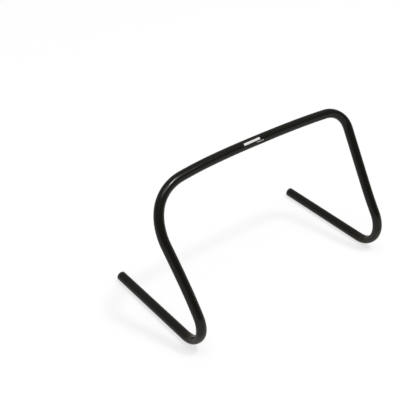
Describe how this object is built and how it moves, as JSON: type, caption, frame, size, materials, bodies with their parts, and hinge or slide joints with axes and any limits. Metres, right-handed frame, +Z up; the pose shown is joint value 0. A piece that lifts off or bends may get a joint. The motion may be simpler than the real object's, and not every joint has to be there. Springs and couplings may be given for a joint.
{
  "type": "speed hurdle",
  "caption": "Low free-standing training hurdle: one bent plastic pipe forms the bar, the leaning legs and the feet, with a push-in plug closing each foot.",
  "frame": {"origin": "on the floor, midway between the feet and midway along the footprint from the front of the floor bends to the tips of the feet", "axes": "+X to the right along the bar, +Y back along the feet, +Z up"},
  "size_m": [0.5297, 0.279, 0.3066],
  "materials": {
    "tube": "extruded rigid PVC, black, semi-gloss",
    "plug": "moulded polyethylene, black, satin"
  },
  "bodies": {
    "root": {"bent_tube": "tube", "left_end_plug": "plug", "right_end_plug": "plug"}
  },
  "joints": []
}
